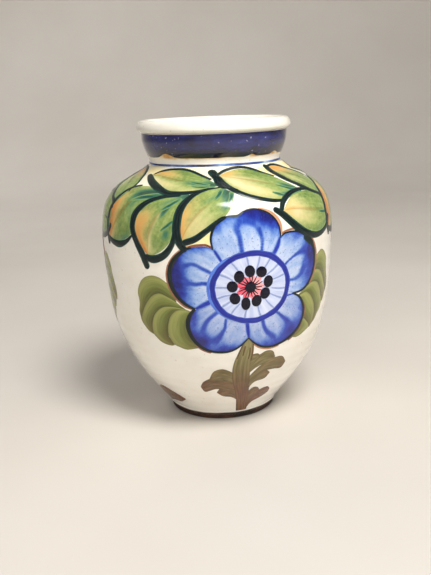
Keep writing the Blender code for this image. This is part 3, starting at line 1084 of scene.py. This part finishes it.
# The five petals, clockwise from the top. Each has its outer edge from notch to notch, how violet it is,
# where it pools deep (turn, down, reach, reach, amount), its veins (turn, down, width) with how deep each is,
# and what follows its edge: black strokes (share of the edge, width) and rust ones (share of the edge, gap,
# width) with how thin the rust is
PETALS = [
    {
        "edge": [(-2, 61.5), (-2.5, 54), (0.5, 45.5), (4, 43), (9.5, 42.5), (12.5, 40), (16, 39), (20.5, 40),
                 (25, 43.5), (28, 49), (29, 57.5)],
        "violet": 0.0,
        "deep": [(20, 42.5, 11, 6.5, 0.75), (25, 47, 6.5, 6.5, 0.55), (12, 41.5, 5, 4, 0.35),
                 (0, 45, 4.5, 4.5, 0.25)],
        "veins": [([(10.5, 64.5, 2.4), (9.5, 54.5, 2.7), (8.5, 48.5, 3.4), (11.5, 43, 4.7)], 0.35),
                  ([(19.5, 65, 1.6), (19.5, 55, 2.3), (17, 48, 3.2), (13, 45, 4)], 0.1)],
        "black": [[(0, 0.9), (0.15, 1.5), (0.28, 2), (0.34, 1.5)],
                  [(0.5, 1.1), (0.6, 1.2), (0.75, 1), (1, 0.9)]],
        "rust": [([(0.64, 1, 1), (0.75, 1.6, 1.8), (0.85, 1.9, 2), (0.97, 1.2, 1.3)], 0.55)],
    },
    {
        "edge": [(29, 57.5), (31, 55.5), (34.5, 55), (38.5, 55.5), (43, 58.5), (47, 63), (50, 70), (50.5, 77),
                 (49.5, 83), (47, 88.5), (42.5, 92.5), (36, 93.5)],
        "violet": 0.1,
        "deep": [(47.5, 67.5, 5.5, 6, 1.0), (47, 78, 5.5, 9, 0.75), (43, 86.5, 6, 4.5, 0.3),
                 (38, 57, 8, 3.5, 0.3)],
        "veins": [([(31, 74.5, 1.1), (34, 71.5, 1.3), (38, 69, 1.9), (45.5, 66.5, 6)], 0.75),
                  ([(33, 84.5, 1.4), (37, 84.5, 2), (40.5, 82.5, 3), (44, 75.5, 5)], 0.2)],
        "black": [[(0.02, 0.9), (0.2, 1.1), (0.3, 2), (0.4, 3.2), (0.5, 2.3), (0.7, 2.1), (0.85, 1.7),
                   (1, 1)]],
        "rust": [([(0.03, 1.2, 1), (0.13, 1.8, 1.3), (0.24, 1.9, 1)], 0.2),
                 ([(0.38, 3.1, 1.4), (0.5, 2.8, 2.1), (0.62, 2.6, 1.9), (0.78, 2.3, 1.3)], 0.2)],
    },
    {
        "edge": [(36, 94), (40, 97), (43, 102.5), (44, 108.5), (42.5, 116), (38, 122), (32, 125.5),
                 (26.5, 127), (21, 126), (16.5, 122.5), (13.5, 118.5)],
        "violet": 0.65,
        "deep": [(37, 117.5, 7, 6, 1.0), (27, 124.5, 10, 4, 0.55), (43, 104, 3.5, 8, 0.35)],
        "veins": [([(20, 106.5, 2), (21, 112, 2.3), (23, 116.5, 2.7), (26.5, 120.5, 3.8)], 0.25),
                  ([(26.5, 103, 1.3), (30.5, 107.5, 2), (34, 112, 3.8), (36.5, 117.5, 6)], 0.75)],
        "black": [[(0, 1.1), (0.2, 2), (0.4, 2.5), (0.7, 1.8), (0.9, 1.2), (1, 0.9)]],
        "rust": [([(0.16, 1.9, 1), (0.3, 2.4, 1.3), (0.45, 2.6, 1.3), (0.56, 2.4, 1.2)], 0.0),
                 ([(0.66, 1.9, 1), (0.76, 2, 1.2), (0.86, 1.6, 1.2), (0.94, 1.1, 0.8)], 0.45)],
    },
    {
        "edge": [(13.5, 118.5), (9, 124), (4.5, 127), (-0.5, 127.5), (-6, 126), (-11, 121.5), (-13.5, 116),
                 (-14.5, 110.5), (-14, 105), (-12.5, 101), (-11, 98.5)],
        "violet": 0.65,
        "deep": [(-9, 119.5, 7.5, 5.5, 0.95), (-12.5, 109, 3, 9, 0.55), (2, 125.5, 8, 3.6, 0.6),
                 (-12, 101.5, 3, 4, 0.4)],
        "veins": [([(-1.5, 100.5, 2.3), (-5, 104.5, 2.3), (-7.5, 109.5, 2.9), (-8.5, 115, 4.3)], 0.25),
                  ([(2.5, 105.5, 1.3), (2, 111, 1.7), (0, 115.5, 2.9), (-2.5, 120, 5)], 0.6)],
        "black": [[(0, 0.9), (0.25, 1.6), (0.5, 2.1), (0.8, 3), (0.9, 2.8), (1, 1.6)]],
        "rust": [([(0.42, 2, 1), (0.51, 2.2, 1.4), (0.6, 2.2, 1.2)], 0.1)],
    },
    {
        "edge": [(-11, 98), (-15.5, 94.5), (-19, 89.5), (-21, 84), (-21.5, 77), (-20.5, 71), (-17.5, 65.5),
                 (-13, 61), (-8, 60), (-5, 60), (-2, 61.5)],
        "violet": 0.0,
        "deep": [(-19, 77, 6.5, 10, 0.85), (-19, 67, 4, 5, 0.4), (-17, 87.5, 6, 7, 0.55),
                 (-11, 62, 8, 3, 0.25)],
        "veins": [([(-2.5, 76, 1.8), (-6, 73.5, 1.9), (-11.5, 70, 2), (-17, 72, 3)], 0.1),
                  ([(-3, 83, 2.8), (-6.5, 82, 2.2), (-11, 82.5, 2.4), (-16, 80.5, 4.2)], 0.6)],
        "black": [[(0, 1.4), (0.2, 2.5), (0.43, 3.3), (0.6, 2.8), (0.72, 1.9), (0.79, 1)]],
        "rust": [([(0.02, 1.2, 1.2), (0.1, 2.1, 1.5), (0.25, 2.6, 1.7), (0.43, 2.9, 1.9), (0.52, 2.7, 1.6)],
                  0.15),
                 ([(0.5, 2.7, 1.4), (0.6, 2.4, 1.4), (0.7, 1.9, 1.2), (0.77, 1.4, 1)], 0.3),
                 ([(0.76, 1.2, 1.2), (0.84, 1.4, 1.5), (0.92, 1.4, 1.5), (1, 0.6, 1.1)], 0.0)],
    },
]
# A painted highlight on the top petal's edge between its two black strokes: the outline drawn grey where the
# shine falls
OUTLINE_HIGHLIGHT_MARKS = [(0.32, 1.2), (0.4, 1.6), (0.46, 1.4), (0.53, 1)]
# Blue between the petals, from the ring to each notch
NOTCH_STROKES = [
    [(1.5, 69, 1.3), (0, 65.5, 1.5), (-1.5, 62, 1.2)],
    [(25.5, 66, 2.4), (27.5, 61.5, 2.5), (28.5, 57.5, 1.4)],
    [(32.5, 94.5, 0.8), (36.5, 94, 0.7)],
    [(12.5, 108.5, 2.2), (13, 114, 2.1), (13.5, 118.5, 1.2)],
    [(-2.5, 92.5, 2.7), (-6.5, 95, 2.7), (-11, 98, 1.3)],
]
STAR = (14.1, 85.6)
# The black drops round the star: nine in a slightly oval ring that starts at the top
ANTHERS = 9
FIRST_ANTHER = math.radians(-92)
ANTHER_STEP = math.radians(39.7)
ANTHER_REACH = 10.7
ANTHER_OVAL = 1.0
ANTHER_LEAN = 0.87
ANTHER_SIZE = (3.2, 3.7)
# How the flower is put together: where its petals start and end beyond their edges, and how its outline sits
PETAL_START = 0.97  # share of the ring
PETAL_GROWTH = 1.02
OUTLINE_OUT = 0.35
SPOKES = 16
FILAMENTS = 18


def ring_place(angle, reach=1.0):
    """A place on the flower's ring, by angle in radians from +turn towards +down."""
    degree = body_wall.degree(FLOWER[1])
    return (FLOWER[0] + RING_X * reach * math.cos(angle) / degree,
            FLOWER[1] + RING_Y * reach * math.sin(angle))


def ring_angle(place):
    degree = body_wall.degree(FLOWER[1])
    return math.atan2((place[1] - FLOWER[1]) / RING_Y, (place[0] - FLOWER[0]) * degree / RING_X)


def beside(edge, marks):
    """A stroke's stations along a petal's edge, from marks of (share of the edge, gap outside it, width)."""
    path = catmull(edge, 12)
    scale = body_wall.degree(path[:, 1])
    out_x, out_y = (path[:, 0] - FLOWER[0]) * scale, path[:, 1] - FLOWER[1]
    run = distances(np.hypot(np.diff(out_x), np.diff(out_y)))
    step_x, step_y = np.gradient(out_x, run), np.gradient(out_y, run)
    size = np.hypot(step_x, step_y)
    share, gap, width = np.array(marks, float).T
    at = np.linspace(share[0], share[-1], 4 * len(marks))
    gaps, widths = np.interp(at, share, gap), np.interp(at, share, width)
    turn, down, off_x, off_y, degree = (np.interp(at * run[-1], run, v) for v in (
        path[:, 0], path[:, 1], step_y / size, -step_x / size, scale))
    return np.stack([turn + gaps * off_x / degree, down + gaps * off_y, widths], -1)


def outline(marks):
    """Marks for beside from (share, width): the middle is OUTLINE_OUT of the width outside the edge."""
    return [(share, OUTLINE_OUT * width, width) for share, width in marks]


def pooled(spots, veins):
    """A rule for a petal's depth of blue: rising towards the edge, with soft veins and deep pools."""
    marks = [(catmull(stations, 6), depth) for stations, depth in veins]

    def rule(along, across, places):
        total = 0.04 + 0.34 * across ** 2 + 0.2 * smoothstep(0.86, 1.0, across)
        for turn, down, wide, high, amount in spots:
            gap_x = (places[..., 0] - turn) * FLOWER_DEGREE / wide
            gap_y = (places[..., 1] - down) / high
            total = total + 0.68 * amount * np.exp(-gap_x ** 2 - gap_y ** 2)
        for path, depth in marks:
            gap_x = (places[..., 0, None] - path[:, 0]) * FLOWER_DEGREE
            gap_y = places[..., 1, None] - path[:, 1]
            touch = np.exp(-(np.hypot(gap_x, gap_y) / (0.58 * path[:, 2] + 0.1)) ** 3).max(-1)
            total = total + touch * np.maximum(0.64 + 0.12 * depth - total, 0.0)
        return np.clip(total, 0.0, 1.0)
    return rule


def paint_petals(motif, number):
    for at, petal in enumerate(PETALS):
        edge = petal["edge"]
        start, end = ring_angle(edge[0]), ring_angle(edge[-1])
        if end < start:
            end += 2 * math.pi
        arc = [ring_place(a, PETAL_START) for a in np.linspace(start, end, 10)]
        middle = np.array(FLOWER)
        grown = middle + PETAL_GROWTH * (np.array(edge) - middle)
        relief = Relief(body_wall, *motif)
        veins = petal["veins"] + [(stations, 0.3) for stations in NOTCH_STROKES]
        relief.loft(arc, grown, BLUE, lift=0.16, crown=0.08, rows=110, columns=40,
                    deep=pooled(petal["deep"], veins), warm=petal["violet"])
        relief.stroke(NOTCH_STROKES[at], COBALT, lift=0.24, crown=0.04, columns=11, pale=0.2)
        relief.finish(f"flower_petal_{at + 1}_{number}", "cobalt_glaze")


def paint_flower_edges(motif, number):
    relief = Relief(body_wall, *motif)
    for petal in PETALS:
        for marks, thin in petal["rust"]:
            relief.stroke(beside(petal["edge"], marks), RUST, lift=0.10, crown=0.08, pale=thin)
        for marks in petal["black"]:
            relief.stroke(beside(petal["edge"], outline(marks)), BLACK, lift=0.22, crown=0.12, warm=1.0)
    # The top petal's outline drawn grey where the shine falls: painted highlight
    relief.stroke(beside(PETALS[0]["edge"], outline(OUTLINE_HIGHLIGHT_MARKS)), BLACK, lift=0.20, crown=0.03, pale=0.7)
    relief.finish(f"flower_outline_{number}", "cobalt_glaze")


def paint_flower_ring(motif, number):
    """The lavender middle, its grey spokes, a paler arc outside the ring on the left, and the ring."""
    middle = Relief(body_wall, *motif)
    middle.dab(*FLOWER, RING_X, RING_Y, LAVENDER, lift=0.27, crown=0.05, around=96, rings=16)
    for spoke in range(SPOKES):
        angle = 2 * math.pi * (spoke + 0.35) / SPOKES + 0.09 * math.sin(5.3 * spoke)
        inner, outer = 0.52 + 0.05 * math.sin(3.1 * spoke), 0.93
        halfway = (inner + outer) / 2
        stations = [(*ring_place(angle, inner), 1.4), (*ring_place(angle + 0.03, halfway), 2.1),
                    (*ring_place(angle + 0.02, outer), 2.4 + 0.5 * math.sin(2.3 * spoke))]
        middle.stroke(stations, SPOKE, lift=0.33, crown=0.03, columns=5)
    widths = (1, 2, 3, 3.4, 3.6, 3.4, 3, 2.4, 1.4)
    pale_arc = [(*ring_place(a, 1.07), width) for a, width in zip(np.linspace(2.1, 4.2, len(widths)), widths)]
    middle.stroke(pale_arc, COBALT, lift=0.33, crown=0.06, pale=1.0)
    middle.hoop(*FLOWER, RING_X, RING_Y, RING_WIDTH, COBALT, lift=0.36, crown=0.12)
    middle.finish(f"flower_ring_{number}", "cobalt_glaze")


def paint_star(motif, number):
    """The coral star and the dark filaments that run out from its middle."""
    degree = body_wall.degree(FLOWER[1])
    star = Relief(body_wall, *motif)
    star.dab(*STAR, 9.4, 8.6, CORAL, lift=0.37, crown=0.04, around=72, rings=8,
             edge=lambda a: 0.86 + 0.14 * np.cos(ANTHERS * a + 0.6))
    for thread in range(FILAMENTS):
        angle = 2 * math.pi * thread / FILAMENTS + 0.05 * math.sin(4.0 * thread)
        near, far = 2.4, 7.2 + 0.9 * math.sin(2.7 * thread)
        stations = [(STAR[0] + r * math.cos(angle + bend) / degree, STAR[1] + r * math.sin(angle + bend), w)
                    for r, bend, w in ((near, 0, 1.0), ((near + far) / 2, 0.06, 0.75), (far, 0.02, 0.5))]
        star.stroke(stations, ANTHER, lift=0.42, crown=0.05, columns=5)
    star.finish(f"flower_star_{number}", "cobalt_glaze")


def paint_anthers(motif, number):
    """The dark eye of the flower and the drops round it."""
    degree = body_wall.degree(FLOWER[1])
    drops = Relief(body_wall, *motif)
    drops.dab(*STAR, 3.3, 3.5, ANTHER, lift=0.46, crown=0.3)
    for drop in range(ANTHERS):
        a = FIRST_ANTHER + ANTHER_STEP * drop
        reach = ANTHER_REACH + ANTHER_OVAL * math.cos(2 * a + ANTHER_LEAN)
        turn, down = STAR[0] + reach * math.cos(a) / degree, STAR[1] + reach * math.sin(a)
        size = 1 + 0.06 * math.sin(2.2 * drop)
        drops.dab(turn, down, size * ANTHER_SIZE[0], ANTHER_SIZE[1] / size, ANTHER, lift=0.46, crown=0.32,
                  edge=lambda angle, drop=drop: 1 + 0.04 * np.sin(2 * angle + drop))
    drops.finish(f"flower_anthers_{number}", "cobalt_glaze")


# ---------------------------------------------------------------- olive leaves and the stem

# Each lobe's crest, from the flower outwards and down, and its bottom beyond where the next crest ends.
# The last crest of a side is the flower's own edge. Each lobe runs LOBE_TUCK under the next one
LOBE_TUCK = 0.5
SIDE_LEAVES = {
    "left": [
        ([(-21, 86), (-24.5, 82), (-28.5, 79), (-32, 78.5), (-36.5, 80.5), (-40, 85.5), (-41.5, 91),
          (-41, 97),
          (-42, 103.5), (-41.5, 110)], []),
        ([(-20, 94.5), (-24, 91.5), (-28.5, 89.5), (-32.5, 91.5), (-36.5, 97), (-39.5, 103), (-41.5, 109)],
         [(-40, 113), (-37.5, 116.5), (-35, 118)]),
        ([(-15, 99), (-19, 98), (-23.5, 97.5), (-27.5, 98.5), (-31.5, 102.5), (-34, 108), (-35, 117.5)],
         [(-33.5, 120), (-31.5, 122.5), (-28.5, 124), (-25, 124.5), (-23, 123.5)]),
        ([(-12, 100.5), (-17, 99), (-20, 99.5), (-23.5, 103.5), (-25.5, 110), (-26, 117), (-23.5, 123.5)],
         [(-21, 125), (-17.5, 126.5), (-13, 125.5), (-9, 124.5)]),
        ([(-11.5, 101), (-13.5, 105), (-13.5, 112), (-12, 118.5), (-8, 123.5)], []),
    ],
    "right": [
        ([(50, 79), (53, 73.5), (55.5, 71.5), (58, 70.5), (62, 73), (65, 78), (66, 84), (68, 91), (69, 96),
          (68, 101)], []),
        ([(48.5, 85), (50.5, 83), (53.5, 82.5), (57, 84), (61, 89), (64, 95), (67, 99.5)],
         [(66, 103), (64, 107)]),
        ([(46, 92), (48.5, 90.5), (51, 90), (55, 91.5), (58.5, 97), (61, 103), (62.5, 106.5)],
         [(61.5, 111), (59, 114), (57, 117.5), (54, 120)]),
        ([(38, 96.5), (41.5, 96), (45, 95), (48.5, 97.5), (52.5, 103.5), (55, 112), (54, 119.5)],
         [(52.5, 122)]),
        ([(37, 97.5), (41, 101.5), (42, 107.5), (43.5, 111), (47, 114.5), (52, 121)],
         [(49, 123), (45, 125), (42, 125.5), (38.5, 124.5)]),
        ([(37.5, 98), (40.5, 104), (41, 111), (41, 117), (38, 123.5)], []),
    ],
}
TRUNK = ([(12.5, 117.5), (9, 128), (6, 140), (6, 152.5), (9.5, 171), (12.5, 192)],
         [(13.5, 117.5), (16, 124), (15.5, 137), (16.5, 152.5), (19, 170.5), (23.5, 192)])
# Brush touches off the stem: upper edge, lower edge, both outwards, and how brown each is (browner low on the
# wall: painted warm bounce light)
SPRIGS = [
    ([(8, 148), (4, 144), (0, 142), (-4.5, 144), (-7.5, 150.5)],
     [(8, 157), (2, 155), (-4.5, 154), (-7.5, 151.5)], 0.4),
    ([(9, 155), (1, 152), (-6, 150.5), (-11.5, 154), (-14, 159)],
     [(10, 166), (0, 162), (-4.5, 161.5), (-8.5, 163.5), (-12, 165), (-14, 160)], 0.75),
    ([(10, 163), (3, 160.5), (-1.5, 161), (-4, 165)], [(13, 179), (6.5, 172), (0, 170), (-4, 166)], 0.75),
    ([(13.5, 136), (16, 132), (19, 131.5), (21, 134)], [(13, 142), (16.5, 138.5), (21, 135)], 0.2),
    ([(13, 145), (16.5, 138), (20, 133), (24, 130.5), (27.5, 131.5), (30, 136.5)],
     [(13, 151.5), (17, 145.5), (22, 141.5), (28, 140.5), (30, 137)], 0.2),
    ([(14, 155), (18, 147), (24, 140), (30, 137.5), (35, 138), (39, 143.5)],
     [(14, 163), (18, 154), (24, 148), (31, 147.5), (37, 148.5), (39, 144.5)], 0.4),
    ([(14.5, 165), (17, 155.5), (22, 149), (26, 147), (29, 149.5)],
     [(16, 172), (17.5, 163), (20.5, 157), (27, 155), (29.5, 150.5)], 0.4),
    ([(16, 176), (17.5, 168), (21, 163), (24, 163.5), (26.5, 166.5)],
     [(19, 186), (23, 178), (27, 171), (26.5, 167.5)], 0.8),
    ([(19, 183), (23, 174), (27, 167.5), (33, 166), (36.5, 169)],
     [(21.5, 192.5), (26, 181.5), (32, 178.5), (37, 174.5), (37, 170)], 1.0),
]
STEM_THREADS = [
    [(12, 124.5, 0.9), (11.5, 128, 1.1), (11, 132, 0.7)],
    [(14.5, 126, 0.8), (14.5, 130.5, 1), (14, 135, 0.6)],
    [(16, 123.5, 1), (16, 130.5, 1.1), (15.5, 136.5, 0.8)],
    [(11, 122.5, 0.8), (9.5, 128, 0.9), (8, 134, 0.6)],
]
# A long dark leaf low on the wall, on the right of the third stem
LOW_LEAF = ([(68, 178), (76, 168.5), (83, 167.5), (88.5, 170.5), (94, 174.6), (97.6, 178)],
            [(68, 189), (76, 186), (82, 185), (88, 184.6), (93, 182), (97.2, 179)])


def paint_side_leaf(side, motif, number):
    relief = Relief(body_wall, *motif)
    lobes = SIDE_LEAVES[side]
    for at, ((crest, bottom), (next_crest, _)) in enumerate(zip(lobes, lobes[1:])):
        tucked = [(turn, down + LOBE_TUCK) for turn, down in next_crest]
        relief.loft(crest + bottom, tucked, OLIVE, lift=0.04 + 0.012 * at, crown=0.05, rows=60, columns=25)
    relief.finish(f"olive_leaf_{side}_{number}", "tin_glaze")


def paint_stem(motif, number):
    relief = Relief(body_wall, *motif)
    # warm: browner low on the wall, painted warm bounce light over olive-brown paint
    for at, (upper, lower, brown) in enumerate(SPRIGS):
        relief.loft(upper, lower, STEM, lift=0.04 + 0.008 * at, crown=0.05, rows=36, columns=15, warm=brown,
                    pale=1.0)
    # The trunk browns towards the foot: painted warm bounce light
    relief.loft(*TRUNK, STEM, lift=0.13, crown=0.06, rows=80, columns=17,
                warm=lambda along, across, places: smoothstep(0.12, 0.7, along))
    for stations in STEM_THREADS:
        relief.stroke(stations, STEM, lift=0.19, crown=0.03, columns=5, warm=0.75)
    if number == 3:
        relief.loft(*LOW_LEAF, STEM, lift=0.04, crown=0.05, rows=36, columns=15, warm=0.9, pale=1.0)
    relief.finish(f"stem_{number}", "tin_glaze")


# ---------------------------------------------------------------- the whole painting

# Each flower with its leaves: how far round it is from the first, how much it is raised where they overlap,
# and the leaves that the crowded back has no room for
MOTIFS = [(0.0, 0.0, ()), (131.0, 0.02, ("top_right", "round_right")), (-130.0, 0.05, ())]


def paint_motif(number, shift, raise_by, left_out):
    motif = (shift, raise_by)
    for kind in LEAVES:
        if kind not in left_out:
            paint_leaf(kind, motif).finish(f"leaf_{kind}_{number}", "cobalt_glaze")
    wash = Relief(body_wall, *motif)
    for edges in WASHES:
        wash.loft(*edges, CREAM, lift=0.02, crown=0.02, rows=30, columns=13)
    wash.finish(f"cream_wash_{number}", "tin_glaze")
    ties = Relief(body_wall, *motif)
    for stations in FLICKS:
        ties.stroke(stations, TEAL, lift=0.12, crown=0.04)
    for stations in TIES:
        ties.stroke(stations, BLACK, lift=0.18, crown=0.12)
    ties.finish(f"leaf_ties_{number}", "cobalt_glaze")
    for side in SIDE_LEAVES:
        paint_side_leaf(side, motif, number)
    paint_stem(motif, number)
    paint_petals(motif, number)
    paint_flower_edges(motif, number)
    paint_flower_ring(motif, number)
    paint_star(motif, number)
    paint_anthers(motif, number)


# ---------------------------------------------------------------- stage, light and camera

CAMERA_PLACE = (0.0, -511.5, 213.9)
CAMERA_TURN = (-0.285, -14.315, -2.055)  # yaw, pitch and roll in degrees
CAMERA_LENS = 46.957


def stage():
    """A plain floor that bends up into a backdrop."""
    mesh = bpy.data.meshes.new("floor")
    reach, behind, bend = 3.0, 1.6, 0.5
    rows = [(-reach, 0.0), (behind - bend, 0.0)]
    for a in np.linspace(0, math.pi / 2, 17)[1:]:
        rows.append((behind - bend + bend * math.sin(a), bend - bend * math.cos(a)))
    rows.append((behind, 3.0))
    points = [(x, y, z) for y, z in rows for x in (-reach, reach)]
    mesh.from_pydata(points, [], [(2 * i, 2 * i + 1, 2 * i + 3, 2 * i + 2) for i in range(len(rows) - 1)])
    mesh.materials.append(plain_floor())
    mesh.shade_smooth()
    floor = bpy.data.objects.new("floor", mesh)
    bpy.context.scene.collection.objects.link(floor)


def area_light(name, place, aim, size, power, colour, mirrored):
    light = bpy.data.lights.new(name, "AREA")
    light.shape = "DISK"
    light.size = size
    light.energy = power
    light.color = colour
    lamp = bpy.data.objects.new(name, light)
    lamp.visible_glossy = mirrored
    lamp.location = place
    lamp.rotation_euler = (Vector(aim) - Vector(place)).to_track_quat("-Z", "Y").to_euler()
    bpy.context.scene.collection.objects.link(lamp)


def light_up():
    """A soft overhead lamp that the glaze mirrors, and broad fill that it doesn't."""
    middle = (0.0, 0.0, 0.1)
    area_light("overhead", (0.32, -0.55, 1.15), middle, 0.52, 16.5, (1.0, 0.97, 0.92), True)
    area_light("front_fill", (-0.5, -1.6, 0.9), middle, 1.2, 10.0, (1.0, 0.98, 0.96), False)
    area_light("right_fill", (1.3, -0.9, 0.7), middle, 1.0, 6.5, (1.0, 0.97, 0.94), False)
    area_light("back_fill", (-0.6, 1.3, 1.0), middle, 1.0, 6.0, (1.0, 0.98, 0.96), False)
    world = bpy.data.worlds.new("studio")
    world.use_nodes = True
    background = world.node_tree.nodes["Background"]
    background.inputs["Color"].default_value = (1.0, 0.98, 0.95, 1.0)
    background.inputs["Strength"].default_value = 0.2
    bpy.context.scene.world = world
    bpy.context.scene.view_settings.view_transform = "Standard"


def set_camera():
    """The photographer stands half a metre away, a little above the lip, and tips the camera down."""
    yaw, pitch, roll = (math.radians(angle) for angle in CAMERA_TURN)
    ahead = Vector((math.sin(yaw) * math.cos(pitch), math.cos(yaw) * math.cos(pitch), math.sin(pitch)))
    right = Vector((math.cos(yaw), -math.sin(yaw), 0.0))
    up = right.cross(ahead)
    rolled_right = math.cos(roll) * right + math.sin(roll) * up
    rolled_up = -math.sin(roll) * right + math.cos(roll) * up
    turn = Matrix((rolled_right, rolled_up, -ahead)).transposed()
    lens = bpy.data.cameras.new("camera")
    lens.lens = CAMERA_LENS
    lens.clip_start = 0.01
    camera = bpy.data.objects.new("camera", lens)
    camera.matrix_world = Matrix.Translation(Vector(CAMERA_PLACE) * MM) @ turn.to_4x4()
    bpy.context.scene.collection.objects.link(camera)
    bpy.context.scene.camera = camera


glaze_body()
glaze_collar()
glaze_lip()
clay_foot()
glaze_edge()
paint_collar()
for motif_number, (motif_shift, motif_raise, motif_left_out) in enumerate(MOTIFS, 1):
    paint_motif(motif_number, motif_shift, motif_raise, motif_left_out)
stage()
light_up()
set_camera()
